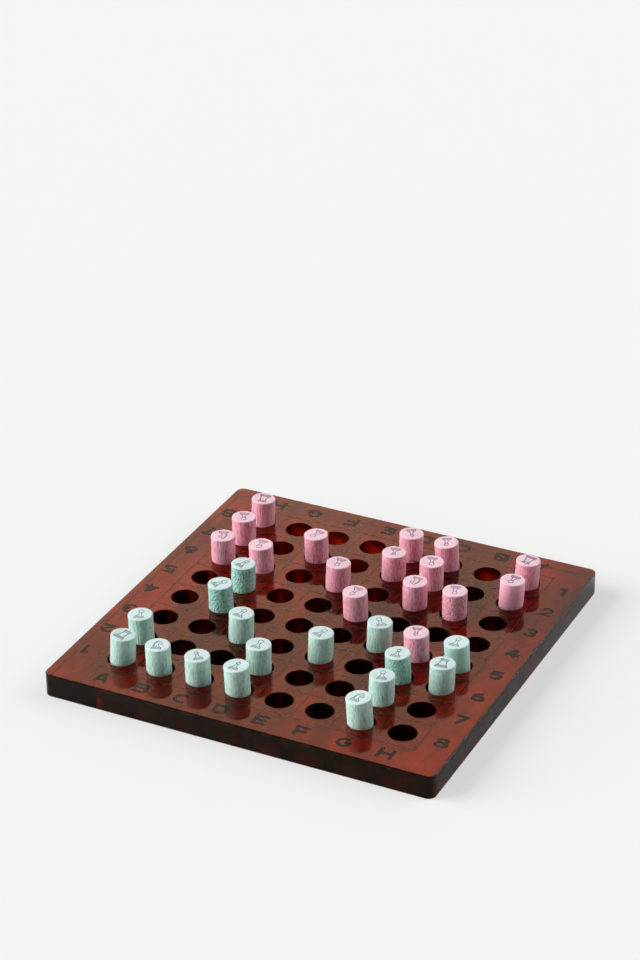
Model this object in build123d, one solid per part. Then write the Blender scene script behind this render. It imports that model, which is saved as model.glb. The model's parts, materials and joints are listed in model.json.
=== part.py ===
from build123d import *
import os
from math import atan, cos, hypot, radians, sin

# A travel set for chess and checkers: one square slab of cast acrylic with a blind hole for each of its
# 64 squares, and 32 round wooden pegs that stand in the holes.
#
# Millimetres, +Z up. The origin is the middle of the slab's underside. +X runs along the front edge, from
# column A to column H, and +Y runs from row 8, at the front, to row 1, at the back.

# The grid. Its columns have letters, and it has as many rows, with numbers from 1 at the back.
columns = "ABCDEFGH"
squares = len(columns)
pitch = 20.8

# The slab
border = 16.8
board_side = squares * pitch + 2 * border
board_thickness = 12.0
board_corner_radius = 4.0
board_edge_break = 0.5

# The pegs, cut from dowel. The round of a dowel is worked as this many narrow flats, 0.04 mm inside it at
# most, to keep a set of 32 light.
peg_diameter = 12.0
peg_length = 23.0
flat_count = 28

# How a peg sits in its hole. The floor left under the holes keeps the pegs in when the board is carried.
side_clearance = 0.75
floor_thickness = 2.0
seat_gap = 0.05
hole_diameter = peg_diameter + 2 * side_clearance
hole_depth = board_thickness - floor_thickness

# A loose peg leans. Each line gives the square a peg stands on, the compass heading of its lean in degrees
# from +X towards +Y, and how far its axis is from the middle of the hole at the mouth and at the foot, as
# shares of the side clearance. A share under 0 is on the far side of the middle from the heading.
pegs = {
    "pink_rook_1": ("A1", 30, 0.45, -0.05),
    "pink_king": ("E1", 10, 0.00, -0.50),
    "pink_bishop_1": ("F1", 35, -0.80, -0.10),
    "pink_rook_2": ("H1", 20, 0.20, -0.50),
    "pink_pawn_1": ("A2", 50, 0.25, 0.05),
    "pink_pawn_3": ("C2", 15, -0.50, -0.20),
    "pink_queen": ("E2", 40, 0.30, -0.05),
    "pink_pawn_6": ("F2", 25, -0.25, -0.50),
    "pink_pawn_8": ("H2", 30, 0.80, 0.20),
    "pink_knight_1": ("A3", 20, -0.75, -0.80),
    "pink_pawn_2": ("B3", 45, 0.15, 0.45),
    "pink_pawn_4": ("D3", 10, 0.60, 0.10),
    "pink_knight_2": ("F3", 30, 0.50, 0.35),
    "pink_pawn_7": ("G3", 40, 0.80, 0.70),
    "pink_pawn_5": ("E4", 20, -0.80, -0.45),
    "pink_bishop_2": ("G5", 35, -0.80, -0.60),
    "mint_bishop_2": ("B4", 25, 0.65, 0.30),
    "mint_pawn_2": ("B5", 30, -0.80, -0.50),
    "mint_pawn_6": ("F5", 15, 0.80, 0.30),
    "mint_pawn_8": ("H5", 40, -0.60, 0.00),
    "mint_pawn_3": ("C6", 20, 0.25, -0.20),
    "mint_pawn_5": ("E6", 30, 0.80, 0.30),
    "mint_queen": ("G6", 10, -0.65, -0.20),
    "mint_rook_2": ("H6", 35, 0.80, 0.30),
    "mint_pawn_1": ("A7", 25, -0.80, -0.45),
    "mint_pawn_4": ("D7", 40, -0.60, -0.80),
    "mint_pawn_7": ("G7", 20, 0.45, 0.00),
    "mint_rook_1": ("A8", 30, 0.70, -0.05),
    "mint_knight_1": ("B8", 15, -0.80, -0.50),
    "mint_bishop_1": ("C8", 35, -0.80, -0.65),
    "mint_king": ("D8", 25, -0.80, -0.30),
    "mint_knight_2": ("G8", 20, -0.60, 0.10),
}


def square_middle(square):
    """The middle of a square such as B8 on the plan of the board."""
    middle = (squares - 1) / 2
    column = columns.index(square[0])
    row = int(square[1:]) - 1
    return (column - middle) * pitch, (middle - row) * pitch


def peg_axis(square, heading, mouth, foot):
    """The middle of a standing peg's lower end and the direction of its axis."""
    x, y = square_middle(square)
    along_x, along_y = cos(radians(heading)), sin(radians(heading))
    slope = (mouth - foot) * side_clearance / hole_depth
    lean = atan(abs(slope))
    # The low side of the rim just clears the floor of the hole.
    lift = seat_gap + peg_diameter / 2 * sin(lean)
    offset = foot * side_clearance + slope * lift
    size = hypot(slope, 1)
    start = (x + offset * along_x, y + offset * along_y, floor_thickness + lift)
    direction = (slope * along_x / size, slope * along_y / size, 1 / size)
    return start, direction


def make_board():
    """The slab, its eight outer edges broken, with a flat-bottomed hole drilled at every square."""
    slab = extrude(RectangleRounded(board_side, board_side, board_corner_radius), board_thickness)
    levels = slab.faces().sort_by(Axis.Z)
    slab = chamfer(levels[0].edges() + levels[-1].edges(), board_edge_break)
    grid = GridLocations(pitch, pitch, squares, squares)
    mouths = Sketch() + [place * Circle(hole_diameter / 2) for place in grid]
    return slab - extrude(Plane.XY.offset(board_thickness) * mouths, -hole_depth)


def make_peg(square, heading, mouth, foot):
    """One length of dowel, standing in its hole with its own lean."""
    start, direction = peg_axis(square, heading, mouth, foot)
    section = RegularPolygon(peg_diameter / 2, flat_count, major_radius=True)
    return Plane(origin=start, z_dir=direction) * extrude(section, peg_length)


def make_set():
    """Every piece of the set, by name."""
    pieces = {"board": make_board()}
    for name, place in pegs.items():
        pieces[name] = make_peg(*place)
    return pieces


os.makedirs("parts", exist_ok=True)
for node, shape in make_set().items():
    shape.label = node
    export_step(shape, f"parts/{node}.step")
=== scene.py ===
import json
from math import cos, pi, radians, sin
from random import Random

import bmesh
import bpy
from mathutils import Matrix, Vector


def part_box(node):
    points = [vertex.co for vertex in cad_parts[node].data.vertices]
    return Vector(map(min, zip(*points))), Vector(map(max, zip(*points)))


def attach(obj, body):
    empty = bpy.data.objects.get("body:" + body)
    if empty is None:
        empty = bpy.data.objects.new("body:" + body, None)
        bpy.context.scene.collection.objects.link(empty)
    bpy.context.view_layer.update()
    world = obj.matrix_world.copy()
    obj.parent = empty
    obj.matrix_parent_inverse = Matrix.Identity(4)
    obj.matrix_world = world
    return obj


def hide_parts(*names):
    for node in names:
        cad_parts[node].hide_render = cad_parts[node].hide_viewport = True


# A travel set for chess and checkers: a slab of marbled red acrylic with 64 drilled holes, and 32 dyed
# wooden pegs with a line-drawn figure on top of each.
#
# Lengths are millimetres in the values below, and mm() takes them to metres. The camera's places, the size of
# the floor and the scales of the noise are in metres. Column A is at the left, and row 8 is at the front.

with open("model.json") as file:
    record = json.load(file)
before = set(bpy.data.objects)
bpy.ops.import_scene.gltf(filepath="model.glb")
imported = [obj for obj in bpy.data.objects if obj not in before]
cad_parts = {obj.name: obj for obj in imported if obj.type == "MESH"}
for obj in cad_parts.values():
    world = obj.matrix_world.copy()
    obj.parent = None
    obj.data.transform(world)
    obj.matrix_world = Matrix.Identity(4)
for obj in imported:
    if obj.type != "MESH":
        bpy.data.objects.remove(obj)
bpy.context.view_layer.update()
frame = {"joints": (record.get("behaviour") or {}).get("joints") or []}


def mm(value):
    return value * 0.001


# The grid and the slab
squares = 8
pitch = 20.8
columns = "ABCDEFGH"
board_side = 200.0
board_top = 12.0
corner_radius = 4.0
corner_steps = 8
edge_radius = 0.6
edge_steps = 5
hole_radius = 6.75
hole_floor = 2.0
mouth_bevel = 0.15
hole_steps = 72

# What is painted on the slab, how deep it is set into the face and how far it stands proud
line_width = 0.9
letter_offset = 4.38 * pitch
number_offset = 4.43 * pitch
label_height = 7.5
label_width = 7.7
label_stroke = 0.235
paint_depth = 0.05
paint_proud = 0.03
stroke_step = 0.004
mitre_limit = 0.45

# The acrylic, and how fast the colour of its face, sides and hole walls clears in each metre along X, Y and
# Z. Under 0 it darkens.
acrylic_ior = 1.49
acrylic_colour = (0.865, 0.38, 0.0, 1.0)
acrylic_density = 270.0
cloud_drift = (-0.15, 0.0, 0.0)
# On the slab's sides the darker colour is painted shade, deepest at the front, and its clearing towards the
# right and back is painted light.
edge_drift = (1.8, 3.4, 0.0)
# In the holes the dark colour is painted shade, and its clearing towards the back and the left is a painted
# glow of light coming in there.
drilled_drift = (-4.0, 7.0, 0.0)

# The pegs
peg_radius = 6.0
peg_length = 23.0
peg_ease = 0.45
peg_steps = 72
peg_levels = 12
ease_steps = 4
unevenness = 0.05
# The waves that make a peg uneven: how many go round it, the rise that turns one by a radian, and its share
peg_waves = ((2, 9.0, 1.0), (5, -5.0, 0.6), (0, 2.3, 0.5))

# The figures, in ink on the pegs' upper ends
ink_width = 0.33
ink_proud = 0.015
ink_depth = 0.05
heavy_ink = 1.3
plinth_top = -2.1
plinth_foot = -3.6

# How far each figure is turned from upright, anticlockwise in degrees. The pink set faces the far side.
figure_turns = {
    "pink_rook_1": 188, "pink_king": 209, "pink_bishop_1": 200, "pink_rook_2": 173,
    "pink_pawn_1": 204, "pink_pawn_3": 162, "pink_queen": 192, "pink_pawn_6": 198,
    "pink_pawn_8": 173, "pink_knight_1": 200, "pink_pawn_2": 182, "pink_pawn_4": 182,
    "pink_knight_2": 180, "pink_pawn_7": 198, "pink_pawn_5": 173, "pink_bishop_2": 196,
    "mint_bishop_2": -20, "mint_pawn_2": -40, "mint_pawn_6": 38, "mint_pawn_8": 0,
    "mint_pawn_3": -8, "mint_pawn_5": -20, "mint_queen": 3, "mint_rook_2": 5,
    "mint_pawn_1": 15, "mint_pawn_4": 0, "mint_pawn_7": 16, "mint_rook_1": -16,
    "mint_knight_1": 15, "mint_bishop_1": 38, "mint_king": -2, "mint_knight_2": -14,
}
# Most pegs have a brushed grain. A few are rough all over, or turned smooth with faint rings.
rough_pegs = ("pink_pawn_7", "mint_bishop_2", "mint_pawn_2", "mint_queen")
turned_pegs = ("pink_pawn_8", "mint_pawn_8")
# These figures are printed in lines heavy_ink times as wide.
heavy_figures = ("pink_rook_1", "pink_rook_2", "pink_pawn_8", "mint_rook_1", "mint_rook_2", "mint_pawn_2")

# The camera, where the photograph was taken from
lens = 105.6
sensor = 36.0
camera_place = Vector((0.5095, -1.0388, 0.7219))
camera_target = Vector((-0.0654, 0.1246, 0.012))
camera_roll = radians(-0.46)

# The studio. Light comes broad and low from the left, with a weaker rim from the right at the back.
fill_strength = 0.05
backdrop_strength = 0.905
mirrored_strength = 0.96
floor_white = (0.868, 0.88, 0.88, 1.0)
floor_evenness = 0.55
floor_half = 6.0
floor_gap = 0.02
# Each softbox's direction, height and width in degrees, how bright it looks, and its colour
softboxes = {
    "key": (206, 24, 50, 8.6, (1.0, 1.0, 1.0)),
    "rim": (40, 35, 60, 2.1, (1.0, 1.0, 1.0)),
    "backlight": (116, 10, 30, 2.0, (1.0, 0.85, 0.7)),
}
# A warm softbox that fades towards its edge, made of several, one in another. Its reflection lies on the left
# half of the slab.
for warm_step in range(4):
    softboxes[f"warm_{warm_step}"] = (122, 30, 12 + 6 * warm_step, 0.28, (1.0, 0.43, 0.2))


def srgb(red, green, blue):
    """A colour as seen on a screen, from 0 to 255, for a shader."""
    def linear(value):
        share = value / 255
        return share / 12.92 if share <= 0.04045 else ((share + 0.055) / 1.055) ** 2.4
    return linear(red), linear(green), linear(blue), 1.0


def new_object(name, bm, materials):
    """An object made of what a bmesh holds, which is freed."""
    mesh = bpy.data.meshes.new(name)
    bm.to_mesh(mesh)
    bm.free()
    for material in materials:
        mesh.materials.append(material)
    piece = bpy.data.objects.new(name, mesh)
    bpy.context.scene.collection.objects.link(piece)
    return piece


def to_metres(bm):
    bmesh.ops.scale(bm, vec=(mm(1),) * 3, verts=bm.verts)


def ring(bm, radius, z, steps, x=0.0, y=0.0):
    """A level circle of vertices."""
    turns = [2 * pi * step / steps for step in range(steps)]
    return [bm.verts.new((x + radius * cos(turn), y + radius * sin(turn), z)) for turn in turns]


def bridge(bm, lower, upper, smooth=True, slot=0):
    """Quads between two rings of as many vertices, facing out where the rings turn anticlockwise."""
    count = len(lower)
    for step in range(count):
        after = (step + 1) % count
        face = bm.faces.new((lower[step], lower[after], upper[after], upper[step]))
        face.smooth = smooth
        face.material_index = slot


def loop_edges(bm, vertices):
    """The edges of a closed ring, made where they are missing."""
    edges = []
    for first, second in zip(vertices, vertices[1:] + vertices[:1]):
        edges.append(bm.edges.get((first, second)) or bm.edges.new((first, second)))
    return edges


def sharpen(bm, vertices):
    """Keeps the shading apart on both sides of a ring."""
    for edge in loop_edges(bm, vertices):
        edge.smooth = False


# Materials

def new_material(name):
    material = bpy.data.materials.new(name)
    material.use_nodes = True
    tree = material.node_tree
    return material, tree, tree.nodes["Principled BSDF"]


def node(tree, kind, **settings):
    """A shader node. Settings whose names are sockets go to the sockets, the rest to the node."""
    made = tree.nodes.new(kind)
    for name, value in settings.items():
        if name in made.inputs:
            made.inputs[name].default_value = value
        else:
            setattr(made, name, value)
    return made


def object_noise(tree, stretch, **settings):
    """Noise fixed to the piece, drawn out along an axis whose share in stretch is small."""
    place = node(tree, "ShaderNodeTexCoord")
    mapping = node(tree, "ShaderNodeMapping", Scale=stretch)
    noise = node(tree, "ShaderNodeTexNoise", **settings)
    tree.links.new(place.outputs["Object"], mapping.inputs["Vector"])
    tree.links.new(mapping.outputs["Vector"], noise.inputs["Vector"])
    return noise.outputs["Fac"]


def drifting(tree, factor, drift):
    """A factor that also grows steadily across the piece, by drift in each metre along X, Y and Z."""
    place = node(tree, "ShaderNodeTexCoord")
    slope = node(tree, "ShaderNodeVectorMath", operation="DOT_PRODUCT")
    slope.inputs[1].default_value = drift
    total = node(tree, "ShaderNodeMath", operation="ADD")
    tree.links.new(place.outputs["Object"], slope.inputs[0])
    tree.links.new(factor, total.inputs[0])
    tree.links.new(slope.outputs["Value"], total.inputs[1])
    return total.outputs[0]


def ramp(tree, factor, stops):
    """Colours along a factor, from pairs of a place and a colour."""
    colours = node(tree, "ShaderNodeValToRGB")
    elements = colours.color_ramp.elements
    while len(elements) < len(stops):
        elements.new(0.5)
    for element, (place, colour) in zip(elements, stops):
        element.position = place
        element.color = colour
    tree.links.new(factor, colours.inputs["Fac"])
    return colours.outputs["Color"]


def multiply(tree, first, second):
    mix = node(tree, "ShaderNodeMix", data_type="RGBA", blend_type="MULTIPLY")
    mix.inputs[0].default_value = 1.0
    tree.links.new(first, mix.inputs[6])
    tree.links.new(second, mix.inputs[7])
    return mix.outputs[2]


def add_bump(tree, shader, height, distance):
    bump = node(tree, "ShaderNodeBump", Strength=1.0, Distance=distance)
    tree.links.new(height, bump.inputs["Height"])
    tree.links.new(bump.outputs["Normal"], shader.inputs["Normal"])


def grey(value):
    return value, value, value, 1.0


def acrylic_material(name, roughness, tint, smoke_and_shade, clear, drift, reach=(0.39, 0.6)):
    """Red acrylic that darkens with its thickness, with smoky clouds and streaks in the colour. On the slab's
    sides and in its holes the dark colour is painted shade.

    Reach gives the two levels of the clouds at which the dark colour is full and at which it is gone.
    """
    material, tree, shader = new_material(name)
    shader.inputs["Roughness"].default_value = roughness
    shader.inputs["IOR"].default_value = acrylic_ior
    shader.inputs["Specular Tint"].default_value = tint
    shader.inputs["Transmission Weight"].default_value = 1.0
    clouds = object_noise(tree, (1.0, 0.55, 1.0), Scale=30.0, Detail=4.0, Roughness=0.55, Distortion=0.9)
    clouds = drifting(tree, clouds, drift)
    streaks = object_noise(tree, (1.0, 0.22, 1.0), Scale=210.0, Detail=4.0, Roughness=0.6, Distortion=0.5)
    broad = ramp(tree, clouds, ((reach[0], smoke_and_shade), (reach[1], clear)))
    fine = ramp(tree, streaks, ((0.34, grey(0.8)), (0.6, grey(1.0))))
    tree.links.new(multiply(tree, broad, fine), shader.inputs["Base Color"])
    volume = node(tree, "ShaderNodeVolumeAbsorption")
    volume.inputs["Color"].default_value = acrylic_colour
    volume.inputs["Density"].default_value = acrylic_density
    tree.links.new(volume.outputs[0], tree.nodes["Material Output"].inputs["Volume"])
    return material


def wood_material(name, pale, deep, stretch, coarse, relief):
    """Dyed birch. Stretch is how the grain is drawn out, and coarse how many grains lie in a metre."""
    material, tree, shader = new_material(name)
    grain = object_noise(tree, stretch, Scale=coarse, Detail=1.5, Roughness=0.5, Distortion=0.25)
    nap = object_noise(tree, (1.0, 1.0, 0.7), Scale=1.6 * coarse, Detail=1.0, Roughness=0.5)
    patches = object_noise(tree, (1.0, 1.0, 0.5), Scale=140.0, Detail=2.0, Roughness=0.5)
    dye = ramp(tree, grain, ((0.36, deep), (0.54, pale)))
    shade = ramp(tree, patches, ((0.3, grey(0.92)), (0.65, grey(1.0))))
    tree.links.new(multiply(tree, dye, shade), shader.inputs["Base Color"])
    shader.inputs["Roughness"].default_value = 0.75
    shader.inputs["Specular IOR Level"].default_value = 0.1
    shader.inputs["Sheen Weight"].default_value = 0.3
    shader.inputs["Sheen Roughness"].default_value = 0.4
    both = node(tree, "ShaderNodeMath", operation="MULTIPLY_ADD")
    both.inputs[1].default_value = 0.5
    tree.links.new(nap, both.inputs[0])
    tree.links.new(grain, both.inputs[2])
    add_bump(tree, shader, both.outputs[0], mm(relief))
    return material


def paint_material(name, colour, worn, roughness, level, tint=(1.0, 1.0, 1.0, 1.0)):
    """Paint or ink, thinner in small spots, with its gloss as a level and a tint."""
    material, tree, shader = new_material(name)
    spots = object_noise(tree, (1.0, 1.0, 1.0), Scale=1500.0, Detail=3.0, Roughness=0.6)
    tree.links.new(ramp(tree, spots, ((0.4, colour), (0.68, worn))), shader.inputs["Base Color"])
    shader.inputs["Roughness"].default_value = roughness
    shader.inputs["Specular IOR Level"].default_value = level
    shader.inputs["Specular Tint"].default_value = tint
    return material


# The slab

def outline(bm, inset, z):
    """The slab's rounded outline, drawn in by an inset, anticlockwise."""
    points = []
    middle = board_side / 2 - corner_radius
    radius = corner_radius - inset
    for quarter in range(4):
        side_x = (1, -1, -1, 1)[quarter]
        side_y = (1, 1, -1, -1)[quarter]
        for step in range(corner_steps + 1):
            turn = pi / 2 * (quarter + step / corner_steps)
            x = side_x * middle + radius * cos(turn)
            y = side_y * middle + radius * sin(turn)
            points.append(bm.verts.new((x, y, z)))
    return points


def square_middles():
    middle = (squares - 1) / 2
    for row in range(squares):
        for column in range(squares):
            yield (column - middle) * pitch, (row - middle) * pitch


def make_slab(face_material, edge_material, drilled_material):
    """The slab as one closed shell, with rounded outer edges and 64 blind holes."""
    bm = bmesh.new()
    profile = []
    for step in range(edge_steps + 1):
        turn = pi / 2 * step / edge_steps
        profile.append((edge_radius * (1 - sin(turn)), edge_radius * (1 - cos(turn))))
    rings = [outline(bm, inset, rise) for inset, rise in profile]
    rings += [outline(bm, inset, board_top - rise) for inset, rise in reversed(profile)]
    for lower, upper in zip(rings, rings[1:]):
        bridge(bm, lower, upper, slot=1)
    sharpen(bm, rings[edge_steps])
    sharpen(bm, rings[edge_steps + 1])
    bm.faces.new(list(reversed(rings[0]))).smooth = False
    borders = loop_edges(bm, rings[-1])
    for x, y in square_middles():
        mouth = ring(bm, hole_radius + mouth_bevel, board_top, hole_steps, x, y)
        throat = ring(bm, hole_radius, board_top - mouth_bevel, hole_steps, x, y)
        foot = ring(bm, hole_radius, hole_floor, hole_steps, x, y)
        bridge(bm, throat, mouth, slot=2)
        bridge(bm, foot, throat, slot=2)
        sharpen(bm, throat)
        floor = bm.faces.new(foot)
        floor.smooth = False
        floor.material_index = 2
        borders += loop_edges(bm, mouth)
    filled = bmesh.ops.triangle_fill(bm, use_beauty=True, use_dissolve=False, edges=borders)
    for face in filled["geom"]:
        if isinstance(face, bmesh.types.BMFace):
            face.smooth = False
    bmesh.ops.recalc_face_normals(bm, faces=bm.faces)
    to_metres(bm)
    slab = new_object("slab", bm, [face_material, edge_material, drilled_material])
    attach(slab, "board")
    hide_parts("board")


def make_grid_lines(material):
    """Nine lines each way, as thin strips set into the slab's face."""
    bm = bmesh.new()
    half = line_width / 2
    top = board_top + paint_proud
    bottom = board_top - paint_depth

    def strip(x_low, x_high, y_low, y_high):
        corners = ((x_low, y_low), (x_high, y_low), (x_high, y_high), (x_low, y_high))
        lower = [bm.verts.new((x, y, bottom)) for x, y in corners]
        upper = [bm.verts.new((x, y, top)) for x, y in corners]
        bridge(bm, lower, upper, smooth=False)
        bm.faces.new(upper)
        bm.faces.new(list(reversed(lower)))

    edges = [(index - squares / 2) * pitch for index in range(squares + 1)]
    for x in edges:
        strip(x - half, x + half, edges[0] - half, edges[-1] + half)
    for y in edges:
        for left, right in zip(edges, edges[1:]):
            strip(left + half, right - half, y - half, y + half)
    to_metres(bm)
    lines = new_object("grid_lines", bm, [material])
    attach(lines, "board")


# Letters and numbers, each a list of strokes in a box 1 wide and 1 high about the origin. A stroke is a
# line of points, and whether it closes on itself.

label_edge = 0.5 - label_stroke / 2


def arc(x, y, radius_x, radius_y, start, end, steps=14):
    """Points on an ellipse or a part of it, anticlockwise, from one angle to another in degrees."""
    turns = [radians(start + (end - start) * step / steps) for step in range(steps + 1)]
    return [(x + radius_x * cos(turn), y + radius_y * sin(turn)) for turn in turns]


def line(*points):
    return list(points), False


def bowl(low, high, reach):
    """The round right-hand part of a B or a D, from its stem and back."""
    radius = (high - low) / 2
    bend = arc(reach - radius, (low + high) / 2, radius, radius, -90, 90, 10)
    return [(-label_edge, low)] + bend + [(-label_edge, high)], False


def label_strokes():
    edge = label_edge
    stem = line((-edge, -0.5), (-edge, 0.5))
    return {
        "A": [
            line((-edge, -0.5), (-0.04, 0.5)),
            line((edge, -0.5), (0.04, 0.5)),
            line((-0.24, -0.2), (0.24, -0.2)),
        ],
        "B": [stem, bowl(0.03, edge, 0.34), bowl(-edge, 0.03, 0.4)],
        "C": [(arc(0.02, 0, 0.38, edge, 42, 318, 20), False)],
        "D": [stem, bowl(-edge, edge, 0.38)],
        "E": [
            stem,
            line((-edge, edge), (0.4, edge)),
            line((-edge, 0), (0.34, 0)),
            line((-edge, -edge), (0.4, -edge)),
        ],
        "F": [stem, line((-edge, edge), (0.4, edge)), line((-edge, -0.04), (0.32, -0.04))],
        "G": [(arc(0, 0, 0.38, edge, 42, 350, 20) + [(edge, -0.02), (0.04, -0.02)], False)],
        "H": [stem, line((edge, -0.5), (edge, 0.5)), line((-edge, 0), (edge, 0))],
        "1": [line((-0.24, 0.2), (0.0, edge), (0.12, edge)), line((0.1, 0.5), (0.1, -0.5))],
        "2": [line(*arc(0, 0.14, 0.3, 0.24, 175, -30, 10), (-0.32, -edge), (0.4, -edge))],
        "3": [
            (arc(-0.02, 0.2, 0.28, 0.18, 155, -90, 12), False),
            (arc(-0.02, -0.17, 0.33, 0.21, 90, -155, 12), False),
        ],
        "4": [line((0.1, 0.5), (0.1, -0.5)), line((0.06, 0.42), (-0.36, -0.18), (0.44, -0.18))],
        "5": [line((0.36, edge), (-0.24, edge), (-0.28, 0.06), *arc(0.0, -0.15, 0.32, 0.23, 110, -150, 12))],
        "6": [
            (arc(0.0, -0.16, 0.32, 0.22, 0, 360, 20), True),
            line(*arc(0.14, -0.08, 0.46, 0.46, 180, 88, 8)),
        ],
        "7": [line((-0.4, edge), (0.4, edge)), line((0.27, edge), (-0.14, -0.5))],
        "8": [(arc(0, 0.22, 0.29, 0.19, 0, 360, 18), True), (arc(0, -0.19, 0.35, 0.22, 0, 360, 20), True)],
    }


def draw_stroke(bm, points, closed, width, low, high):
    """A solid ribbon along a line, between two levels, with its corners mitred.

    Strokes that cross have tops at levels a stroke_step apart, so that no two lie in one plane. The mitre
    limit keeps the point of a sharp corner from reaching out too far.
    """
    points = [Vector(point) for point in points]
    if closed and (points[0] - points[-1]).length < width / 4:
        points.pop()
    count = len(points)
    sections = []
    for index, point in enumerate(points):
        ahead = points[(index + 1) % count] - point
        behind = point - points[index - 1]
        if not closed and index == 0:
            behind = ahead
        if not closed and index == count - 1:
            ahead = behind
        along = (ahead.normalized() + behind.normalized()).normalized()
        across = Vector((-along.y, along.x))
        reach = width / 2 / max(mitre_limit, across.dot(Vector((-ahead.y, ahead.x)).normalized()))
        left = point + across * reach
        right = point - across * reach
        corners = ((left, low), (right, low), (right, high), (left, high))
        sections.append([bm.verts.new((flat.x, flat.y, z)) for flat, z in corners])
    following = sections[1:] + sections[:1] if closed else sections[1:]
    for first, second in zip(sections, following):
        bridge(bm, first, second, smooth=False)
    if not closed:
        bm.faces.new(list(reversed(sections[0])))
        bm.faces.new(sections[-1])


def make_labels(material):
    """The letters along the front and back, and the numbers along the sides, read from their own edge."""
    bm = bmesh.new()
    strokes = label_strokes()
    middle = (squares - 1) / 2
    for index in range(squares):
        along = (index - middle) * pitch
        letter, number = columns[index], str(index + 1)
        places = (
            (letter, along, -letter_offset, 0), (letter, -along, letter_offset, pi),
            (number, number_offset, -along, 0), (number, -number_offset, along, pi),
        )
        for label, x, y, turn in places:
            glyph = bmesh.new()
            for order, (points, closed) in enumerate(strokes[label]):
                sized = [(px * label_width, py * label_height) for px, py in points]
                top = board_top + paint_proud + stroke_step * order
                draw_stroke(glyph, sized, closed, label_stroke * label_width, board_top - paint_depth, top)
            glyph.transform(Matrix.Translation((x, y, 0)) @ Matrix.Rotation(turn, 4, "Z"))
            mesh = bpy.data.meshes.new("label")
            glyph.to_mesh(mesh)
            glyph.free()
            bm.from_mesh(mesh)
            bpy.data.meshes.remove(mesh)
    bmesh.ops.recalc_face_normals(bm, faces=bm.faces)
    to_metres(bm)
    labels = new_object("labels", bm, [material])
    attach(labels, "board")


# The pegs

axes = {joint["child"]: Vector(joint["axis"]).normalized() for joint in frame["joints"]}


def peg_place(name):
    """Where a peg stands: from its own upright frame, in millimetres, to the row frame."""
    low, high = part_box(name)
    direction = axes[name]
    start = (low + high) / 2 - direction * mm(peg_length / 2)
    turn = Vector((0, 0, 1)).rotation_difference(direction).to_matrix().to_4x4()
    return Matrix.Translation(start) @ turn @ Matrix.Scale(mm(1), 4)


def make_peg(name, side_material, end_and_highlight_material):
    """A length of dowel with eased ends, a little uneven all along."""
    random = Random(name)
    phases = [random.uniform(0, 2 * pi) for wave in peg_waves]
    bm = bmesh.new()
    ease = []
    for step in range(ease_steps + 1):
        turn = pi / 2 * step / ease_steps
        ease.append((peg_radius - peg_ease * (1 - sin(turn)), peg_ease * (1 - cos(turn))))
    profile = list(ease)
    for level in range(1, peg_levels):
        profile.append((peg_radius, peg_ease + (peg_length - 2 * peg_ease) * level / peg_levels))
    profile += [(radius, peg_length - rise) for radius, rise in reversed(ease)]
    rings = []
    for radius, z in profile:
        level = ring(bm, radius, z, peg_steps)
        for step, vertex in enumerate(level):
            turn = 2 * pi * step / peg_steps
            swell = 0.0
            for phase, (count, rise, share) in zip(phases, peg_waves):
                swell += share * sin(count * turn + phase + z / rise)
            vertex.co.xy *= 1 + unevenness / peg_radius * swell / 2
        rings.append(level)
    # The eased rims take the ends' paler dye, a painted highlight where they catch the light.
    for level, (lower, upper) in enumerate(zip(rings, rings[1:])):
        eased = level < ease_steps or level >= len(rings) - 1 - ease_steps
        bridge(bm, lower, upper, slot=1 if eased else 0)
    sharpen(bm, rings[0])
    sharpen(bm, rings[-1])
    for end in (rings[-1], list(reversed(rings[0]))):
        face = bm.faces.new(end)
        face.smooth = False
        face.material_index = 1
    bmesh.ops.transform(bm, matrix=peg_place(name), verts=bm.verts)
    piece = new_object(name + "_dowel", bm, [side_material, end_and_highlight_material])
    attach(piece, name)
    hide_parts(name)


# The figures, each a list of strokes as the labels are, in millimetres.

def curve(*points, steps=5):
    """A smooth line through a few points."""
    path = []
    ends = (points[0],) + points + (points[-1],)
    for before, start, end, after in zip(ends, ends[1:], ends[2:], ends[3:]):
        for step in range(steps):
            share = step / steps
            path.append(tuple(
                start[axis]
                + (end[axis] - before[axis]) * share / 2
                + (2 * before[axis] - 5 * start[axis] + 4 * end[axis] - after[axis]) * share ** 2 / 2
                + (3 * start[axis] - before[axis] - 3 * end[axis] + after[axis]) * share ** 3 / 2
                for axis in (0, 1)
            ))
    return path + [points[-1]]


def mirrored(points):
    return [(-x, y) for x, y in reversed(points)]


def plinth(half):
    """The foot of a figure: a shallow box with a band across it."""
    box = [(-half, plinth_foot), (half, plinth_foot), (half - 0.35, plinth_top), (0.35 - half, plinth_top)]
    middle = (plinth_foot + plinth_top) / 2
    return [(box, True), ([(0.35 - half, middle), (half - 0.35, middle)], False)]


def pawn():
    flank = curve((1.45, plinth_top), (0.85, -0.9), (0.6, 0.5), (0.8, 1.45))
    head = arc(0, 2.35, 1.2, 1.2, -45, 225)
    return [(flank + head + mirrored(flank), False), ([(-1.0, 1.1), (1.0, 1.1)], False)] + plinth(2.35)


def rook():
    battlement = [(1.5, 2.1), (2.0, 3.5), (1.15, 3.6), (1.1, 2.95), (0.5, 2.95), (0.45, 3.6)]
    tower = [(1.9, plinth_top), (1.35, 2.1)]
    return [
        (battlement + mirrored(battlement), True),
        (tower, False),
        (mirrored(tower), False),
    ] + plinth(2.8)


def knight():
    head = curve(
        (-1.7, plinth_top), (-1.9, 0.2), (-1.3, 2.2), (-0.4, 3.5), (0.1, 2.9), (1.0, 2.5), (2.0, 1.2),
        (1.8, 0.5), (1.1, 0.5), (0.5, 0.9), (0.5, -0.6), (1.5, plinth_top),
    )
    mane = curve((-1.25, -1.6), (-1.4, 0.3), (-0.9, 1.9), (-0.3, 2.7))
    return [(head, False), (mane, False), (arc(0.5, 1.85, 0.14, 0.14, 0, 360, 6), False)] + plinth(2.35)


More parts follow.
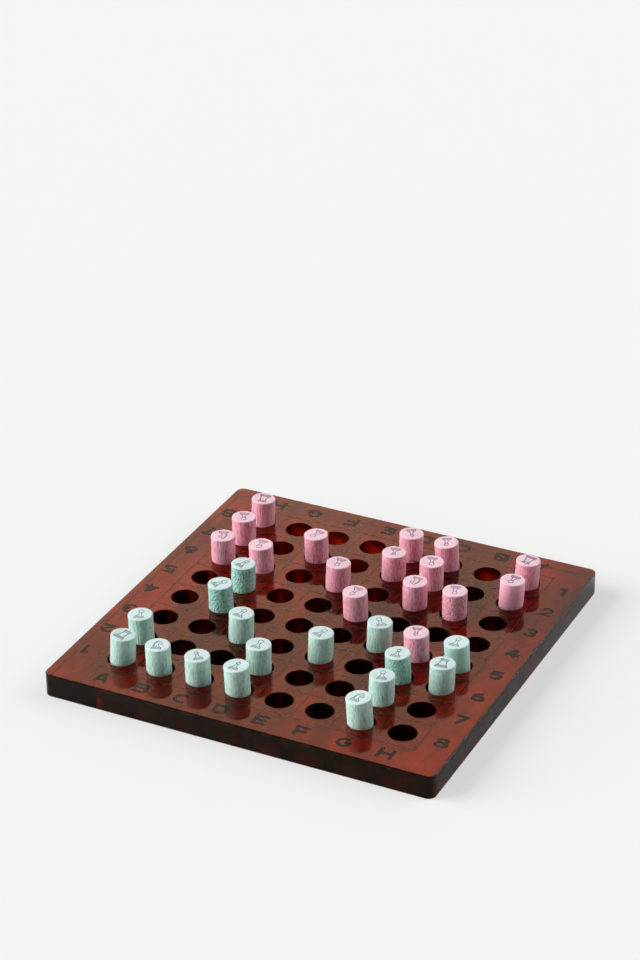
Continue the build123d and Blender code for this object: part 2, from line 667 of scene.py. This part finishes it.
def bishop():
    mitre = curve((0.5, 1.35), (1.05, 2.1), (0.65, 3.0), (0.0, 3.6))
    flank = curve((1.5, plinth_top), (0.8, -0.9), (0.5, 1.1))
    return [
        (mitre + mirrored(mitre)[1:], True),
        ([(0.1, 2.1), (0.5, 2.75)], False),
        ([(-1.0, 1.1), (1.0, 1.1)], False),
        (flank, False),
        (mirrored(flank), False),
    ] + plinth(2.2)


def king():
    crown = curve((0.5, 1.3), (0.95, 2.2), (0.6, 2.75), (0.0, 2.65))
    flank = curve((1.6, plinth_top), (0.75, -0.9), (0.4, 1.1))
    return [
        (crown + mirrored(crown)[1:], True),
        ([(0.0, 2.65), (0.0, 3.7)], False),
        ([(-0.45, 3.25), (0.45, 3.25)], False),
        ([(-0.9, 1.1), (0.9, 1.1)], False),
        (flank, False),
        (mirrored(flank), False),
    ] + plinth(2.35)


def queen():
    points = [(0.6, 1.35), (1.2, 3.0), (0.55, 2.4)]
    flank = curve((1.6, plinth_top), (0.75, -0.9), (0.4, 1.1))
    return [
        (points + [(0.0, 3.35)] + mirrored(points), True),
        ([(-0.9, 1.1), (0.9, 1.1)], False),
        (flank, False),
        (mirrored(flank), False),
    ] + plinth(2.35)


figures = {"pawn": pawn, "rook": rook, "knight": knight, "bishop": bishop, "king": king, "queen": queen}


def make_figure(name, material):
    """The figure on a peg, which its name gives, such as a rook on pink_rook_1."""
    bm = bmesh.new()
    width = ink_width * (heavy_ink if name in heavy_figures else 1.0)
    for order, (points, closed) in enumerate(figures[name.split("_")[1]]()):
        top = peg_length + ink_proud + stroke_step * order
        draw_stroke(bm, points, closed, width, peg_length - ink_depth, top)
    bmesh.ops.recalc_face_normals(bm, faces=bm.faces)
    turn = Matrix.Rotation(radians(figure_turns[name]), 4, "Z")
    bmesh.ops.transform(bm, matrix=peg_place(name) @ turn, verts=bm.verts)
    piece = new_object(name + "_figure", bm, [material])
    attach(piece, name)


# The studio

def make_floor():
    """A pale floor. Part of its white is seen by the camera alone, which keeps the shadows light."""
    bm = bmesh.new()
    bmesh.ops.create_grid(bm, x_segments=1, y_segments=1, size=floor_half)
    material, tree, shader = new_material("studio_floor")
    shader.inputs["Base Color"].default_value = floor_white
    shader.inputs["Roughness"].default_value = 0.9
    path = node(tree, "ShaderNodeLightPath")
    share = node(tree, "ShaderNodeMath", operation="MULTIPLY")
    share.inputs[1].default_value = floor_evenness
    white = node(tree, "ShaderNodeEmission", Color=grey(1.0), Strength=backdrop_strength)
    mix = node(tree, "ShaderNodeMixShader")
    tree.links.new(path.outputs["Is Camera Ray"], share.inputs[0])
    tree.links.new(share.outputs[0], mix.inputs[0])
    tree.links.new(shader.outputs[0], mix.inputs[1])
    tree.links.new(white.outputs[0], mix.inputs[2])
    tree.links.new(mix.outputs[0], tree.nodes["Material Output"].inputs["Surface"])
    floor = new_object("floor", bm, [material])
    floor.location.z = -mm(floor_gap)


def make_camera():
    data = bpy.data.cameras.new("camera")
    data.lens = lens
    data.sensor_width = sensor
    camera = bpy.data.objects.new("camera", data)
    aim = (camera_target - camera_place).to_track_quat("-Z", "Y").to_matrix().to_4x4()
    camera.matrix_world = Matrix.Translation(camera_place) @ aim @ Matrix.Rotation(camera_roll, 4, "Z")
    bpy.context.scene.collection.objects.link(camera)
    bpy.context.scene.camera = camera


def make_softbox(name, azimuth, elevation, spread, radiance, colour):
    """A broad light far away, by its direction, its width in degrees and how bright it looks."""
    data = bpy.data.lights.new(name, "SUN")
    data.angle = radians(spread)
    data.energy = radiance * pi * sin(radians(spread / 2)) ** 2
    data.color = colour
    light = bpy.data.objects.new(name, data)
    toward = Vector((cos(radians(azimuth)), sin(radians(azimuth)), 0)) * cos(radians(elevation))
    toward.z = sin(radians(elevation))
    light.rotation_euler = toward.to_track_quat("Z", "Y").to_euler()
    bpy.context.scene.collection.objects.link(light)


def make_world():
    """Dim all round, with a white backdrop for what is seen directly, mirrored or through the acrylic."""
    world = bpy.data.worlds.new("studio")
    bpy.context.scene.world = world
    world.use_nodes = True
    tree = world.node_tree
    path = node(tree, "ShaderNodeLightPath")
    shader = tree.nodes["Background"]
    shader.inputs["Color"].default_value = grey(1.0)
    shader.inputs["Strength"].default_value = fill_strength
    seen_by = (
        ("Is Glossy Ray", mirrored_strength),
        ("Is Transmission Ray", mirrored_strength),
        ("Is Camera Ray", backdrop_strength),
    )
    for ray, strength in seen_by:
        white = node(tree, "ShaderNodeBackground", Color=grey(1.0), Strength=strength)
        mix = node(tree, "ShaderNodeMixShader")
        tree.links.new(path.outputs[ray], mix.inputs[0])
        tree.links.new(shader.outputs[0], mix.inputs[1])
        tree.links.new(white.outputs[0], mix.inputs[2])
        shader = mix
    tree.links.new(shader.outputs[0], tree.nodes["World Output"].inputs["Surface"])


bpy.context.scene.view_settings.view_transform = "Standard"
make_camera()
make_world()
for name, settings in softboxes.items():
    make_softbox(name, *settings)
make_floor()

face_tint = (0.5, 0.2, 0.0, 1)
make_slab(
    acrylic_material(
        "acrylic_face", roughness=0.02, tint=face_tint,
        smoke_and_shade=(0.4, 0.4, 0.36, 1), clear=(1.0, 0.85, 0.8, 1), drift=cloud_drift,
    ),
    # The sides: a darker copy of the acrylic, which is painted shade, lighter towards the right and back as
    # painted light.
    acrylic_material(
        "acrylic_edge", roughness=0.05, tint=(0.3, 0.17, 0.1, 1),
        smoke_and_shade=(0.24, 0.2, 0.17, 1), clear=(0.52, 0.47, 0.42, 1), drift=edge_drift,
    ),
    # The hole walls and floors: nearly black, which is painted shade in the holes, with a painted glow
    # towards the back and the left.
    acrylic_material(
        "acrylic_drilled", roughness=0.45, tint=face_tint,
        smoke_and_shade=(0.05, 0.04, 0.03, 1), clear=(0.5, 0.4, 0.3, 1), drift=drilled_drift, reach=(0.62, 0.92),
    ),
)
label_paint = paint_material(
    "dark_paint", srgb(16, 19, 15), srgb(32, 28, 23), roughness=0.04, level=0.17, tint=(0.1, 0.25, 0.1, 1),
)
line_paint = paint_material(
    "faint_paint", srgb(60, 17, 8), srgb(68, 19, 9), roughness=0.02, level=0.43, tint=face_tint,
)
make_grid_lines(line_paint)
make_labels(label_paint)

# How each finish of the wood draws its grain out, how many grains lie in a metre, and their relief
finishes = {
    "brushed": ((1.0, 1.0, 0.18), 1900.0, 0.55),
    "rough": ((1.0, 1.0, 0.8), 1200.0, 1.2),
    "turned": ((0.1, 0.1, 0.8), 900.0, 0.25),
    "end": ((1.0, 1.0, 0.6), 1600.0, 0.15),
}
# The pale and the deep dye of each colour in each finish
dyes = {
    ("pink", "brushed"): (srgb(248, 176, 195), srgb(226, 134, 157)),
    ("mint", "brushed"): (srgb(200, 231, 219), srgb(160, 208, 193)),
    ("pink", "rough"): (srgb(248, 176, 195), srgb(226, 134, 157)),
    ("mint", "rough"): (srgb(176, 222, 208), srgb(130, 192, 176)),
    ("pink", "turned"): (srgb(248, 176, 195), srgb(240, 164, 184)),
    ("mint", "turned"): (srgb(176, 222, 208), srgb(168, 216, 200)),
    # The ends are dyed paler than the sides, which paints the light from above. On the eased rims this paler
    # dye is a painted highlight.
    ("pink", "end"): (srgb(242, 209, 219), srgb(234, 191, 205)),
    ("mint", "end"): (srgb(215, 235, 233), srgb(198, 222, 218)),
}
woods = {}
for (colour, finish), (pale, deep) in dyes.items():
    woods[colour, finish] = wood_material(f"{colour}_wood_{finish}", pale, deep, *finishes[finish])
inks = {
    "pink": paint_material("ink_on_pink", srgb(88, 58, 96), srgb(150, 118, 150), roughness=0.7, level=0.05),
    "mint": paint_material("ink_on_mint", srgb(70, 86, 98), srgb(138, 158, 164), roughness=0.7, level=0.05),
}
for name in sorted(axes):
    colour = name.split("_")[0]
    finish = "rough" if name in rough_pegs else "turned" if name in turned_pegs else "brushed"
    make_peg(name, woods[colour, finish], woods[colour, "end"])
    make_figure(name, inks[colour])
